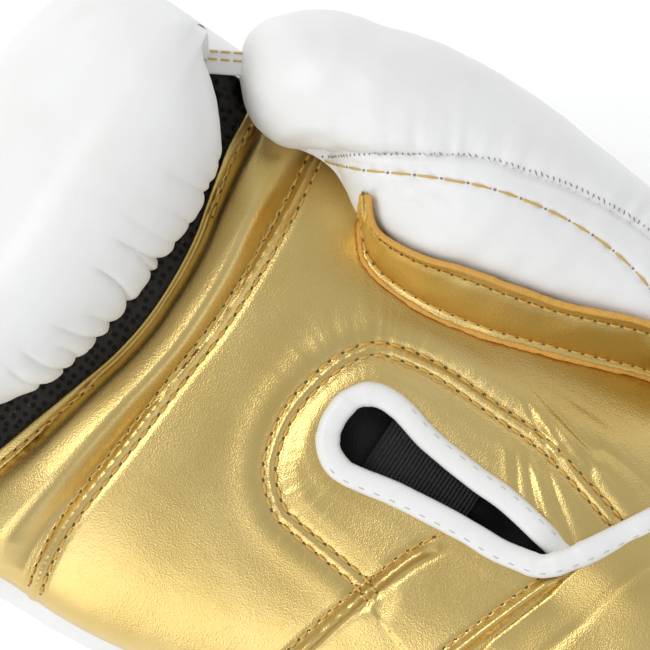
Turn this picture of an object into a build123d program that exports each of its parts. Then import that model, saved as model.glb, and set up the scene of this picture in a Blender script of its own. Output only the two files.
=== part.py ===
from build123d import *
import math
import os

# A right-hand hook-and-loop boxing glove, lying on its back with the palm up.
# Millimetres. X runs across the hand towards the thumb, Y towards the knuckles, Z up out of the palm.
# The origin is on the flat patch on the back of the hand that the glove rests on, in the hand's middle.

# ---------------------------------------------------------------- driving dimensions
LEATHER = 1.6                # thickness of every leather panel
LINING = 1.2                 # thickness of the satin lining
PLY_GAP = 0.4                # air between two layers that are sewn together
SEAM_GAP = 1.2               # gap between neighbouring panels, closed by their seam
FLAT_SINK = 0.6              # how far the back bulges below the table before it is flattened

WRIST_Y = -44.0              # where the hand ends and the cuff begins
CUFF_END_Y = -140.0
FIST_CENTRE = (80.0, 57.0)   # (y, z) of the curl that the knuckle padding follows
FIST_RADIUS = 57.0 + FLAT_SINK
CURL_TURN = 60               # degrees above the horizon where the tighter fingertip curl begins
FINGER_RADIUS = 22.0
FINGER_END_TURN = 205        # degrees round the fingertip curl where the padded shell stops

PALM_SIDE_Z = 47.5           # height of the seam between the palm leather and the padded shell
PALM_END_Y = 57.4            # palm panel ends at the double row that closes the grip bar
GRIP_Y = 65.0
GRIP_X = (-55.0, 49.0)
GRIP_RADIUS = 5.4
CROOK_Y = (70.6, 93.0)       # mesh vent between the grip bar and the bottom of the finger crook
CUFF_X = 8.0                 # the wrist sits this far to the thumb side of the fist's centre

SLIT_X = 12.0
SLIT_TOP = (10.4, 7.0)       # (y, radius) of the slit's round end
SLIT_FOOT = (-36.0, 1.3)
SLIT_GAP = 3.0               # gap between the two cuff flaps under the strap
BINDING = 1.3                # thickness of the edge binding
BINDING_WIDTH = 6.0
PIPING_RADIUS = 1.8
ELASTIC = (-18.5, 8.5, 1.2)  # (first y, last y, thickness)
ELASTIC_X = (-14.0, 38.0)
HEEL_PAD = 5.0               # thickness of the padding over the heel of the hand
HEEL_PAD_END_Y = 30.0
CUFF_FOAM = 8.0
CUFF_RIM = 10.0              # how far the mouth's binding reaches up the cuff

STRAP_Y = (-114.0, -60.0)
ANCHOR_START_X = -46.0
ANCHOR_END_Y = -46.4         # the sewn end of the strap is wider, up to the wrist's rolled seam
STRAP_INNER = 2.8            # strap's inner face, outside the cuff leather
STRAP_OUTER = 6.0
STRAP_HINGE_X = 15.0         # fold line beside the slit
STRAP_BREAK_X = 41.6         # fold line on the thumb side where the closing tab begins
STRAP_TIP_X = -16.0
HINGE_GAP = 0.8
TAPE = 0.9                   # thickness of the hook and of the loop tape
HOOK_X = (-12.0, 24.0)
LOOP_X = (-34.0, 36.0)

FAR = 160.0                  # past the glove in every direction
ALL_X = (-FAR, FAR)
WRIST_SIDE = (-FAR, 0.0)     # along Y, everything on the cuff's side of the origin

# Back of the hand: y, outer z, half width, side depth, then depth to the end of the outer, middle
# and dense foam. The curl's stations follow, by their turn in degrees from the downward direction.
HAND_STATIONS = [
    (WRIST_Y, 7.5, 53.0, 38.5, 9.0, 13.0, 15.0),
    (-18.0, 1.0, 59.0, 43.0, 12.0, 20.0, 23.0),
    (15.0, -FLAT_SINK, 66.0, 46.5, 14.0, 26.0, 31.0),
    (50.0, -FLAT_SINK, 70.0, 46.5, 15.0, 28.0, 34.0),
]
CURL_STATIONS = [
    (-90, 71.5, 46.0, 16.0, 29.0, 36.0),
    (-50, 71.5, 44.0, 16.0, 29.0, 36.0),
    (-12, 70.0, 42.0, 14.0, 25.0, 31.0),
    (25, 67.0, 35.0, 12.0, 20.0, 24.0),
    (CURL_TURN, 63.0, 18.0, 10.0, 13.0, 14.5),
    (95, 59.0, 16.0, 8.0, 9.5, 10.5),
    (140, 53.0, 13.0, 6.0, 7.0, 8.0),
    (180, 48.0, 11.0, 5.0, 6.0, 7.0),
    (FINGER_END_TURN, 45.0, 9.0, 4.5, 5.5, 6.5),
]
MIDDLE_FOAM_END = 18         # stations the middle and the dense foam reach, counted with the halfway ones
DENSE_FOAM_SPAN = (4, 16)
SIDE_SHARE = 0.65            # side padding is this share of the padding in the middle

PALM_STATIONS = [            # y, top z, half width, centre x
    (WRIST_Y, 79.0, 50.0, CUFF_X),
    (-18.0, 77.0, 56.0, 5.0),
    (15.0, 74.5, 62.5, 2.0),
    (45.0, 72.5, 66.0, 0.0),
    (72.0, 71.0, 66.0, 0.0),
]
CUFF_STATIONS = [            # y, half width, middle z, half height; straight under the strap
    (WRIST_Y - SEAM_GAP, 52.0, 44.0, 35.0),
    (-57.0, 51.0, 44.5, 35.0),
    (-76.0, 51.0, 44.5, 35.0),
    (-98.0, 51.0, 44.5, 35.0),
    (-117.0, 51.0, 44.5, 35.0),
    (CUFF_END_Y, 55.0, 45.5, 37.5),
]
THUMB_STATIONS = [           # y, centre x, centre z, half width, half height
    (-43.0, 71.0, 65.0, 5.0, 6.0),
    (-36.0, 73.5, 66.5, 11.5, 12.5),
    (-12.0, 77.5, 69.5, 17.5, 19.5),
    (25.0, 78.0, 71.5, 22.0, 23.0),
    (55.0, 77.0, 72.5, 20.0, 22.0),
    (74.0, 76.5, 72.0, 17.0, 19.0),
    (85.0, 76.5, 71.0, 10.5, 12.0),
    (89.0, 76.5, 71.0, 4.0, 5.0),
]
THUMB_POCKET = [             # y, centre x, centre z, half width, half height
    (-19.0, 76.0, 68.5, 9.0, 8.5),
    (0.0, 76.5, 69.5, 13.5, 12.5),
    (35.0, 78.5, 71.0, 12.5, 12.5),
    (66.0, 77.0, 71.5, 9.0, 10.0),
]
THUMB_WINDOW = ((44.0, 70.0), (-22.0, 14.0), (50.0, 65.5))   # way from the hand into the thumb
THUMB_SEAM = [(58.0, 78.0), (59.5, 58.0), (70.0, 44.0), (80.5, 28.0), (87.5, 2.0), (87.0, -44.0)]
WELT_WIDTH = 6.5             # white strip between the two thumb seams


# ---------------------------------------------------------------- shape helpers
def signed_power(value, exponent):
    return math.copysign(abs(value) ** exponent, value)


def arch(half_width, rise, count=13, sharpness=2.5):
    """(x, depth) points of a superellipse arch, from one foot over the crown to the other."""
    points = []
    for i in range(count):
        angle = math.pi * (i / (count - 1) - 0.5)
        x = half_width * signed_power(math.sin(angle), 2 / sharpness)
        points.append((x, rise * (1 - abs(math.cos(angle)) ** (2 / sharpness))))
    return points


def band_wire(outer, inner):
    """Closed wire of a band: along the outer points and back along the inner ones."""
    there, back = Spline(*outer), Spline(*reversed(inner))
    return Wire([there, Line(outer[-1], inner[-1]), back, Line(inner[0], outer[0])])


def prism(points, low=-20.0, high=160.0):
    """Upright solid over a straight-sided outline."""
    return Pos(0, 0, low) * extrude(make_face(Polyline(*points, close=True)), high - low)


def block(x, y, z):
    """Box from three (low, high) pairs."""
    sides = [high - low for low, high in (x, y, z)]
    return Pos(*[(low + high) / 2 for low, high in (x, y, z)]) * Box(*sides)


def save(name, shape):
    """One STEP per node, holding only its solids."""
    solids = [s for s in shape.solids() if s.volume > 1.0]
    export_step(Compound(children=solids) if len(solids) > 1 else solids[0], f"parts/{name}.step")


# ---------------------------------------------------------------- padded shell, a slab curled round the fist
def refined(rows):
    """The same rows with a smooth one added halfway between each two neighbours."""
    found = [rows[0]]
    for i in range(len(rows) - 1):
        start, end = rows[i], rows[i + 1]
        before, after = rows[max(i - 1, 0)], rows[min(i + 2, len(rows) - 1)]
        middle = [(9 * (q + r) - p - s) / 16 for p, q, r, s in zip(before, start, end, after)]
        found += [middle, end]
    return found


def curl_place(turn):
    """(y, z) of the slab's outer face at a turn round the fist, tighter past CURL_TURN."""
    start, angle = math.radians(CURL_TURN), math.radians(turn)
    y, z = FIST_CENTRE
    radius = FIST_RADIUS
    if turn > CURL_TURN:
        y += (FIST_RADIUS - FINGER_RADIUS) * math.cos(start)
        z += (FIST_RADIUS - FINGER_RADIUS) * math.sin(start)
        radius = FINGER_RADIUS
    return y + radius * math.cos(angle), z + radius * math.sin(angle)


def hook_stations():
    """(y, z, inward direction, half width, centre x, side depth, foam depths) along the slab."""
    found = []
    for y, z, half_width, side, *foams in refined(HAND_STATIONS):
        centre_x = CUFF_X * max(0.0, (15.0 - y) / (15.0 - WRIST_Y))
        found.append((y, z, 90.0, half_width, centre_x, side, foams))
    for turn, half_width, side, *foams in refined(CURL_STATIONS):
        y, z = curl_place(turn)
        centre_x = 10.0 * (turn - CURL_TURN) / (180.0 - CURL_TURN)
        found.append((y, z, turn + 180.0, half_width, min(max(centre_x, 0.0), 10.0), side, foams))
    return found


HOOK = hook_stations()


def hook_points(station, depth):
    """Points across the slab at one depth below its outer face."""
    y, z, direction, half_width, centre_x, side, _ = station
    along, up = math.cos(math.radians(direction)), math.sin(math.radians(direction))
    points = []
    for x, drop in arch(half_width - SIDE_SHARE * depth, side - depth):
        total = depth + drop
        points.append((centre_x + x, y + total * along, z + total * up))
    return points


def hook_layer(depth_from, depth_to, first=0, last=None):
    """One layer of the slab. The depths are functions of the station."""
    wires = []
    for station in HOOK[first:last]:
        outer = hook_points(station, depth_from(station))
        inner = hook_points(station, depth_to(station))
        wires.append(band_wire(outer, inner))
    return Solid.make_loft(wires, ruled=True)


def foam_depth(index, extra=0.0):
    return lambda station: station[6][index] + extra


def fixed_depth(depth):
    return lambda station: depth


def padded_shell():
    first_foam = LEATHER + PLY_GAP
    table = block((-120, 120), (-160, 160), (-30, 0))
    shell = hook_layer(fixed_depth(0.0), fixed_depth(LEATHER)) - table
    save("back_shell", shell)
    save("outer_foam", hook_layer(fixed_depth(first_foam), foam_depth(0)))
    save("middle_foam", hook_layer(foam_depth(0, PLY_GAP), foam_depth(1), last=MIDDLE_FOAM_END))
    save("dense_foam", hook_layer(foam_depth(1, PLY_GAP), foam_depth(2), *DENSE_FOAM_SPAN))
    lining = hook_layer(foam_depth(2, PLY_GAP), foam_depth(2, PLY_GAP + LINING))
    save("hand_lining", lining)


# ---------------------------------------------------------------- palm side, an arched sheet cut into panels
def palm_sheet(depth_from, depth_to):
    """Arched sheet over the palm, between two depths under its outer face."""
    wires = []
    for y, top, half_width, centre_x in PALM_STATIONS:
        rise = top - PALM_SIDE_Z
        rims = []
        for depth in (depth_from, depth_to):
            rim = arch(half_width - depth, rise - depth)
            rims.append([(centre_x + x, y, top - depth - drop) for x, drop in rim])
        wires.append(band_wire(*rims))
    return Solid.make_loft(wires)


def palm_height(x, y, depth=0.0):
    """Height of the palm sheet at a place between two stations."""
    for (y0, top0, width0, x0), (y1, top1, width1, x1) in zip(PALM_STATIONS, PALM_STATIONS[1:]):
        if y <= y1:
            break
    t = (y - y0) / (y1 - y0)
    top, half_width, centre_x = top0 + t * (top1 - top0), width0 + t * (width1 - width0), x0 + t * (x1 - x0)
    share = min(1.0, abs(x - centre_x) / (half_width - depth))
    return top - depth - (top - depth - PALM_SIDE_Z) * (1 - (1 - share**2.5) ** 0.4)


def ellipse_loft(stations, grow=0.0):
    """Smooth pod through ellipses, each on a plane square to Y."""
    sections = []
    for i, (y, x, z, half_width, half_height) in enumerate(stations):
        y += -grow if i == 0 else grow if i == len(stations) - 1 else 0.0
        plane = Plane(origin=(x, y, z), x_dir=(1, 0, 0), z_dir=(0, -1, 0))
        sections.append((plane * Ellipse(half_width + grow, half_height + grow)).face())
    return loft(sections)


def slit_plan(grow):
    """Teardrop outline of the palm slit, widened by grow."""
    top, foot = (Pos(SLIT_X, y) * Circle(radius + grow) for y, radius in (SLIT_TOP, SLIT_FOOT))
    return make_hull(top.edges() + foot.edges())


def slit_prism(grow):
    return Pos(0, 0, 40) * extrude(slit_plan(grow), 60)


def wrist_seam_y(x):
    """Seam between the palm panel and the wrist band, slanting up towards the little finger."""
    return -16.8 - 0.3 * x


def piping():
    """Two rolled seams on the little finger side of the wrist."""
    seams = (("wrist_piping", wrist_seam_y, -48.0), ("cuff_piping", lambda x: -42.0 - 0.25 * x, -34.0))
    for name, seam_y, first in seams:
        xs = [first + i * (-2.0 - first) / 8 for i in range(9)]
        rise = PIPING_RADIUS + 0.8
        path = Spline(*[(x, seam_y(x), palm_height(x, seam_y(x)) + rise) for x in xs])
        plane = Plane(origin=path @ 0, z_dir=path % 0)
        save(name, sweep(plane * Circle(PIPING_RADIUS), path=path))


def palm_side(thumb_room):
    seam = [(SLIT_X, wrist_seam_y(SLIT_X)), (-90, wrist_seam_y(-90))]
    below_seam = [(x, y - SEAM_GAP) for x, y in seam]
    foot_y = WRIST_Y - 5
    palm_area = prism([(120, foot_y), (SLIT_X, foot_y), *seam, (-90, PALM_END_Y), (120, PALM_END_Y)])
    wrist_area = prism([(SLIT_X, -140), *below_seam, (-90, -140)])
    palm_only = block(ALL_X, (-FAR, PALM_END_Y), (0, FAR))
    slit = slit_prism(BINDING + 0.3)
    slit_foot = block((SLIT_X - 1.6, SLIT_X + 1.6), (-FAR, -30), (40, FAR))
    ways = [thumb_room, block(*THUMB_WINDOW), slit, slit_foot]

    leather = palm_sheet(0.0, LEATHER) - ways
    save("palm_panel", leather & palm_area)
    save("wrist_band_panel", leather & wrist_area)
    pad_top = LEATHER + PLY_GAP
    heel_area = palm_only - block(ALL_X, (HEEL_PAD_END_Y, FAR), (0, FAR))
    pad = (palm_sheet(pad_top, pad_top + HEEL_PAD) & heel_area) - ways
    save("palm_heel_pad", pad)
    lining_top = pad_top + HEEL_PAD + PLY_GAP
    lining = palm_sheet(lining_top, lining_top + LINING) & palm_only
    save("palm_lining", lining - ways)

    rim = palm_sheet(-BINDING - 0.3, -0.3) & (slit_prism(BINDING_WIDTH) - slit_prism(0.0))
    wall = palm_sheet(-BINDING - 0.3, lining_top + LINING) & (slit_prism(BINDING) - slit_prism(0.0))
    save("slit_binding", (rim + wall) & block(ALL_X, (SLIT_FOOT[0], FAR), (0, FAR)))

    elastic_top = lining_top + LINING + PLY_GAP
    elastic = palm_sheet(elastic_top, elastic_top + ELASTIC[2])
    save("slit_elastic", elastic & block(ELASTIC_X, ELASTIC[:2], (0, FAR)))


def thumb_gusset(thumb_room):
    """Raw-edged gold strip laid over the palm panel along the foot of the thumb."""
    strip = prism([(58, 44), (48.6, 39), (43, 30), (44.2, 14), (50, -8), (58, -30), (80, -40), (90, 50)])
    sheet = palm_sheet(-LEATHER - 0.3, -0.3)
    save("thumb_gusset", (sheet & strip) - thumb_room)


def grip_bar():
    """Foam roll under its own leather band, following the arch of the palm."""
    first, last = GRIP_X
    xs = [first + i * (last - first) / 8 for i in range(9)]
    centre = Spline(*[(x, GRIP_Y, palm_height(x, GRIP_Y, GRIP_RADIUS + 1.0)) for x in xs])
    plane = Plane(origin=centre @ 0, z_dir=centre % 0, x_dir=(0, 1, 0))
    save("grip_roll", sweep(plane * Circle(GRIP_RADIUS), path=centre))
    outer, inner = GRIP_RADIUS + PLY_GAP + LEATHER, GRIP_RADIUS + PLY_GAP
    upper = Rectangle(40, 20, align=(Align.CENTER, Align.MIN))
    tent = (Circle(outer) - Circle(inner)) & upper
    if (plane.y_dir).Z < 0:
        tent = mirror(tent, Plane.XZ)
    save("grip_cover", sweep(plane * tent, path=centre))


def finger_crook():
    """Mesh vent that runs forward under the fingertips, and the panel that returns to the shell's end."""
    mesh = []
    panel = []
    first, last = CROOK_Y
    for x in (-52.0, -26.0, 0.0, 26.0, 50.0):
        floor = palm_height(x, 70.0, 9.5)
        rise = 1 - (abs(x) / 90.0) ** 2
        rear, front = (first + 2.6, floor), (last, floor - 1.0)
        mesh.append(band_wire(
            [(x, rear[0] + i * (front[0] - rear[0]) / 4, floor + 1.1) for i in range(5)],
            [(x, rear[0] + i * (front[0] - rear[0]) / 4, floor) for i in range(5)]))
        low = floor + 4.0
        line = [(last + i * (80.5 - last) / 4, low + i * 6.0 * rise / 4) for i in range(5)]
        panel.append(band_wire([(x, y, z + 1.2) for y, z in line], [(x, y, z) for y, z in line]))
    save("crook_mesh", Solid.make_loft(mesh))
    save("fingertip_panel", Solid.make_loft(panel))


# ---------------------------------------------------------------- thumb
def thumb_plan(shift):
    """Upright solid on the outer side of the thumb seam, moved towards the palm by shift."""
    edge = [(x - shift, y) for x, y in THUMB_SEAM]
    outline = Polyline((edge[0][0], 120), edge[0]) + Spline(*edge)
    far = Polyline(edge[-1], (edge[-1][0], -80), (140, -80), (140, 120), (edge[0][0], 120))
    return extrude(make_face(outline + far), 160)


def thumb():
    grown = ellipse_loft(THUMB_STATIONS, 0.5)
    outer, inner = ellipse_loft(THUMB_STATIONS), ellipse_loft(THUMB_STATIONS, -LEATHER)
    pocket = ellipse_loft(THUMB_POCKET)
    window = block(*THUMB_WINDOW)
    skin = outer - inner - window
    upper = block((0, 140), (-80, 120), (74.0, 140))
    beyond_seam, beyond_welt = thumb_plan(0.0), thumb_plan(WELT_WIDTH)
    save("thumb_outer_panel", skin & thumb_plan(-0.3))
    welt = (skin & beyond_welt & upper) - beyond_seam
    save("thumb_welt", welt)
    rest = skin - beyond_seam
    rest -= thumb_plan(WELT_WIDTH + 0.3) & upper
    save("thumb_inner_panel", rest)
    foam = ellipse_loft(THUMB_STATIONS, -LEATHER - PLY_GAP) - ellipse_loft(THUMB_POCKET, LINING + PLY_GAP)
    save("thumb_foam", foam - window)
    save("thumb_lining", ellipse_loft(THUMB_POCKET, LINING) - pocket - window)
    tether = block((50.0, 70.0), (80.5, 90.5), (61.0, 63.2)) - grown
    save("thumb_tether", tether)
    return grown


# ---------------------------------------------------------------- cuff and strap
def cuff_form(grow, first=CUFF_END_Y, last=WRIST_Y - SEAM_GAP):
    """Closed cuff solid, grow outside its leather, between two places along the wrist."""
    wires = []
    for y, half_width, middle, half_height in CUFF_STATIONS:
        rim = arch(half_width + grow, half_height + grow)
        top = [(CUFF_X + x, y, middle + half_height + grow - drop) for x, drop in rim]
        foot = [(CUFF_X + x, y, middle - half_height - grow + drop) for x, drop in rim]
        wires.append(Wire([Spline(*top), Spline(*reversed(foot))]))
    form = Solid.make_loft(wires)
    return form & block((-120, 140), (first, last), (-60, 160))


def cuff_tube(outer, inner, first=CUFF_END_Y, last=WRIST_Y - SEAM_GAP):
    return cuff_form(outer, first, last) - cuff_form(inner, first, last)


def cuff():
    half = CUFF_STATIONS[0][2]
    slot = block((SLIT_X - SLIT_GAP / 2, SLIT_X + SLIT_GAP / 2), WRIST_SIDE, (half, FAR))
    skin = cuff_tube(0.0, -LEATHER) - slot
    save("cuff_back_panel", skin & block(ALL_X, WRIST_SIDE, (-FAR, half - SEAM_GAP / 2)))
    above = (half + SEAM_GAP / 2, FAR)
    save("cuff_flap_little_finger_side", skin & block((-FAR, SLIT_X), WRIST_SIDE, above))
    save("cuff_flap_thumb_side", skin & block((SLIT_X, FAR), WRIST_SIDE, above))
    foam_in = LEATHER + PLY_GAP
    save("cuff_foam", cuff_tube(-foam_in, -foam_in - CUFF_FOAM) - slot)
    lining_in = foam_in + CUFF_FOAM + PLY_GAP
    save("cuff_lining", cuff_tube(-lining_in, -lining_in - LINING) - slot)
    rim_inner = -lining_in - LINING - BINDING - 0.2
    ring = cuff_tube(BINDING + 0.3, rim_inner, CUFF_END_Y, CUFF_END_Y + CUFF_RIM)
    ring -= cuff_tube(0.3, rim_inner + BINDING, CUFF_END_Y, CUFF_END_Y + CUFF_RIM)
    end_cap = cuff_tube(BINDING + 0.3, rim_inner, CUFF_END_Y, CUFF_END_Y + BINDING)
    rim = Pos(0, -PLY_GAP, 0) * ring + Pos(0, -PLY_GAP - BINDING, 0) * end_cap
    save("cuff_edge_binding", rim - slot)


def strap():
    """Sewn end, hinged middle and hinged closing tab, with their binding and the two tapes."""
    half = CUFF_STATIONS[0][2]
    below = (-FAR, half)
    inside = (STRAP_Y[0] + BINDING + 0.2, STRAP_Y[1] - BINDING - 0.2)
    tab_x = (STRAP_TIP_X, STRAP_TIP_X + BINDING)
    anchor = block((ANCHOR_START_X, STRAP_HINGE_X - HINGE_GAP / 2), WRIST_SIDE, (half + 12, FAR))
    over = block((STRAP_HINGE_X + HINGE_GAP / 2, FAR), WRIST_SIDE, (half, FAR))
    under = block((STRAP_BREAK_X + HINGE_GAP / 2, FAR), WRIST_SIDE, below)
    side = over + under
    tip = block((STRAP_TIP_X, STRAP_BREAK_X - HINGE_GAP / 2), WRIST_SIDE, below)
    tip_leather = block((tab_x[1] + 0.2, STRAP_BREAK_X - HINGE_GAP / 2), WRIST_SIDE, below)

    band = cuff_tube(STRAP_OUTER, STRAP_INNER, *inside)
    save("strap_anchor", cuff_tube(STRAP_OUTER, STRAP_INNER, inside[0], ANCHOR_END_Y) & anchor)
    save("strap_side", band & side)
    save("strap_tip", band & tip_leather)
    edges = cuff_tube(STRAP_OUTER, STRAP_INNER, STRAP_Y[0], STRAP_Y[0] + BINDING)
    save("strap_anchor_binding", edges & anchor)
    edges += cuff_tube(STRAP_OUTER, STRAP_INNER, STRAP_Y[1] - BINDING, STRAP_Y[1])
    save("strap_side_binding", edges & side)
    end = cuff_tube(STRAP_OUTER, STRAP_INNER, *STRAP_Y) & block(tab_x, WRIST_SIDE, below)
    save("strap_tip_binding", (edges & tip) + end)

    hook_face = STRAP_INNER - 0.2
    hooks = cuff_tube(hook_face, hook_face - TAPE, STRAP_Y[0] + 7, STRAP_Y[1] - 7)
    save("hook_tape", hooks & block(HOOK_X, WRIST_SIDE, below))
    loops = cuff_tube(0.3 + TAPE, 0.3, STRAP_Y[0] + 4, STRAP_Y[1] - 4)
    save("loop_tape", loops & block(LOOP_X, WRIST_SIDE, below))


def main():
    os.makedirs("parts", exist_ok=True)
    padded_shell()
    thumb_room = thumb()
    palm_side(thumb_room)
    thumb_gusset(thumb_room)
    piping()
    grip_bar()
    finger_crook()
    cuff()
    strap()


main()
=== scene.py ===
"""Looks of the right-hand boxing glove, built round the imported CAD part. Lengths here are in millimetres."""
import math

import bpy
import numpy as np
from mathutils import Matrix, Vector
from mathutils.bvhtree import BVHTree


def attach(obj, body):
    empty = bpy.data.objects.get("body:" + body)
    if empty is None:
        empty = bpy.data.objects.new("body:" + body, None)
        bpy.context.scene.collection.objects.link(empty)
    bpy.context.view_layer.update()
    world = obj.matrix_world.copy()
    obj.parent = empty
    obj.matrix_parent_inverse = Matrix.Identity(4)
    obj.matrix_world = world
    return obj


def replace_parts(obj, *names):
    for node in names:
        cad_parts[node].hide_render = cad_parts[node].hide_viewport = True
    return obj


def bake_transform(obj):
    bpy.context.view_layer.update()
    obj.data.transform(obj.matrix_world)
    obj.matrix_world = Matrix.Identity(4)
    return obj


MM = 0.001
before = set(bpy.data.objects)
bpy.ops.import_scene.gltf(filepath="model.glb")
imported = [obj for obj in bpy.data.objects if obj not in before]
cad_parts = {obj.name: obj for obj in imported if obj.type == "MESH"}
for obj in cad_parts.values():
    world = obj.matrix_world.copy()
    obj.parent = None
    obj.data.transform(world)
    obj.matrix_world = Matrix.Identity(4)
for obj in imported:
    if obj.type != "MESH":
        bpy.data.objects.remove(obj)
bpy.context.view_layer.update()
rng = np.random.default_rng(7)

# -------------------- dimensions, as in the CAD
PALM = np.array([  # y, top z, half width, centre x
    (-60, 79.6, 52, 10), (-44, 79, 53, 10), (-18, 77, 58.5, 7), (15, 74.5, 64, 3), (45, 72.5, 66, 0),
    (72, 71, 66, 0), (100, 70.5, 64, 0)], float)
PALM_SIDE_Z = 46.5
HAND = np.array([  # y, outer z, half width, side depth
    (-44, 7.5, 53, 38.5), (-18, 1.0, 59, 43), (15, 0, 66, 46), (50, 0, 70, 46)], float)
CURL = np.array([  # turn, half width, side depth, section exponent
    (-90, 71.5, 46, 0.72), (-50, 71.5, 44, 0.60), (-12, 71.5, 41, 0.52), (25, 71, 33, 0.54),
    (60, 70.5, 21.6, 0.60), (95, 70, 20.5, 0.66), (140, 69.5, 18, 0.7), (180, 69, 16, 0.75),
    (205, 68, 13, 0.8), (250, 65, 9, 0.8)], float)
FIST = (80.0, 57.0, 57.2)
FINGER_R, CURL_TURN = 22.0, 60.0
SEWN_TURN = 205              # turn at which the finger end is sewn
CUFF = np.array([  # y, half width, middle z, half height
    (-45, 52, 44, 35), (-57, 51, 44.5, 35), (-76, 51, 44.5, 35), (-98, 51, 44.5, 35), (-117, 51, 44.5, 35),
    (-140.5, 55, 45.5, 37.5)], float)
CUFF_X = 8.0
CUFF_AXIS = np.array([CUFF_X, 0, 44.5])
CUFF_BEND = 0.8              # exponent of the cuff's oval section
STRAP_LOW, STRAP_FAR, STRAP_MIDDLE = -113.6, -60.0, -87.0    # y of its two edges and of its middle
STRAP_OVER = 5.0             # where the strap's turns are measured, over the cuff's skin
SEAM_PITCH = 3.8             # of the gold topstitching
THUMB = np.array([  # y, centre x, centre z, half width, half height
    (-50, 74, 58, 6, 7), (-40, 77, 63.5, 11, 13), (-12, 78.4, 69, 18.2, 19.5), (5, 77.2, 70.5, 21.4, 21.8),
    (25, 75.8, 71, 24.0, 23), (40, 76.2, 71.5, 22.8, 22.6), (55, 78.0, 72, 18.0, 21),
    (66, 75.9, 72, 16.8, 19.6), (81, 74.4, 71.5, 16.8, 19.6), (90, 74.8, 71, 16.8, 19.6)], float)

# -------------------- design curves, (x, y) in plan
FINGER_EDGE = [(-72, 110), (-50, 98), (-28, 88.5), (-19.9, 83.6), (-3.8, 79.6), (11.3, 78.2), (26.8, 77.2),
               (38, 77), (47.3, 78.4), (53.3, 81.4), (60.4, 86.8), (66, 92.3), (69, 96.5), (72, 104)]
FINGER_OVERHANG = 2.4        # the padding bulges past its sewn edge
STRAIGHT_END = 75.5          # y of the finger end before it is drawn forwards
GOLD_EDGE = [(-72, 93), (-56, 88), (-39.9, 82.5), (-28.1, 79), (-15.1, 75.1), (-6.2, 72.5), (5.3, 70.8),
             (17.3, 70.9), (28.4, 72.3), (38.5, 75.1), (49.1, 77.7), (60.5, 79), (72, 82)]
GRIP_SEAM = [(-72, 57), (-56.2, 60.6), (-43.2, 61.4), (-23.1, 60), (-0.2, 58.5), (13.7, 57.5), (31.4, 58),
             (46.4, 59.2), (58.8, 60.9), (72, 62)]
HORSESHOE = [(-20.6, -9.6), (-19.2, -4.2), (-17.3, 14.6), (-15.8, 20.5), (-10.2, 27), (-3.6, 30.2),
             (5.5, 31.9), (15.3, 30.9), (24.9, 27.8), (32.1, 21.4), (35.4, 7.9), (35.4, -8.1),
             (34.8, -24.9), (30.9, -42.3), (29.6, -47), (28.6, -51)]
SLIT = [(12.5, -38.5), (14.8, -23.9), (15.1, -14.6), (16.4, -0.4), (18.6, 8.9), (18.4, 14.5), (15.5, 17.4),
        (10.5, 17.8), (6.5, 16.2), (4.6, 12.5), (5.2, 7.5), (7.1, -1.8), (9.1, -18.7), (9.6, -28),
        (11.0, -35.2)]
WRIST_ROLL = [(2.2, -18.0), (-4, -14.4), (-9.5, -12), (-24, -7.3), (-37, -4.2), (-52, -1), (-60, 0.5)]
CUFF_ROLL = [(11.6, -45.0), (4, -42), (-3.5, -39.2), (-18.8, -33.9), (-32, -30), (-46, -27)]
GUSSET_LOW = [(58.7, 45.2), (53.4, 42.1), (48.8, 39), (45.6, 35.5), (43.9, 28.5), (43.8, 16.9), (46.4, 4),
              (50.2, -7.5), (56, -24), (60.2, -35.1), (62, -46)]
GUSSET_HIGH = [(59.0, 44.0), (55.6, 41), (53.2, 37.5), (52.6, 32.8), (53.8, 24), (57.6, 12), (62.2, -6.4),
               (66.6, -18), (71.0, -30), (73, -45)]
THUMB_GOLD_SEAM = [(59.9, 58), (63.2, 48.1), (70.2, 34.8), (76, 21.5), (79.6, 7.2), (80.7, -6.9),
                   (78.8, -21.2), (73, -36)]
THUMB_GREY_SEAM = [(58.6, 61.5), (61.4, 57), (70.5, 44), (80.7, 27.9), (85.2, 14.6), (88.4, 1.5), (89.3, -17),
                   (84, -33)]


# -------------------- numeric helpers
def smooth(t):
    """Ease from 0 to 1."""
    t = np.clip(t, 0.0, 1.0)
    return t * t * (3 - 2 * t)


def spline(points, step=1.0):
    """Smooth curve through the points, sampled about every step."""
    p = np.array(points, float)
    p = np.vstack([2 * p[0] - p[1], p, 2 * p[-1] - p[-2]])
    out = []
    for a, b, c, d in zip(p, p[1:], p[2:], p[3:]):
        n = max(2, int(np.linalg.norm(c - b) / step) + 1)
        t = np.linspace(0, 1, n, endpoint=False)[:, None]
        out.append(0.5 * (2 * b + (c - a) * t + (2 * a - 5 * b + 4 * c - d) * t**2
                          + (3 * b - a - 3 * c + d) * t**3))
    return np.vstack(out + [p[-2][None]])


def table(rows, at):
    """Columns of a table, smoothly interpolated at values of its first column."""
    key = rows[:, 0]
    order = np.argsort(key)
    key, cols = key[order], rows[order, 1:]
    slope = np.gradient(cols, key, axis=0)
    i = np.clip(np.searchsorted(key, at) - 1, 0, len(key) - 2)
    h = key[i + 1] - key[i]
    t = np.clip((at - key[i]) / h, 0, 1)[..., None]
    h = h[..., None]
    h00, h10 = 2 * t**3 - 3 * t**2 + 1, t**3 - 2 * t**2 + t
    h01, h11 = -2 * t**3 + 3 * t**2, t**3 - t**2
    value = h00 * cols[i] + h10 * h * slope[i] + h01 * cols[i + 1] + h11 * h * slope[i + 1]
    return np.moveaxis(value, -1, 0)


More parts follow.
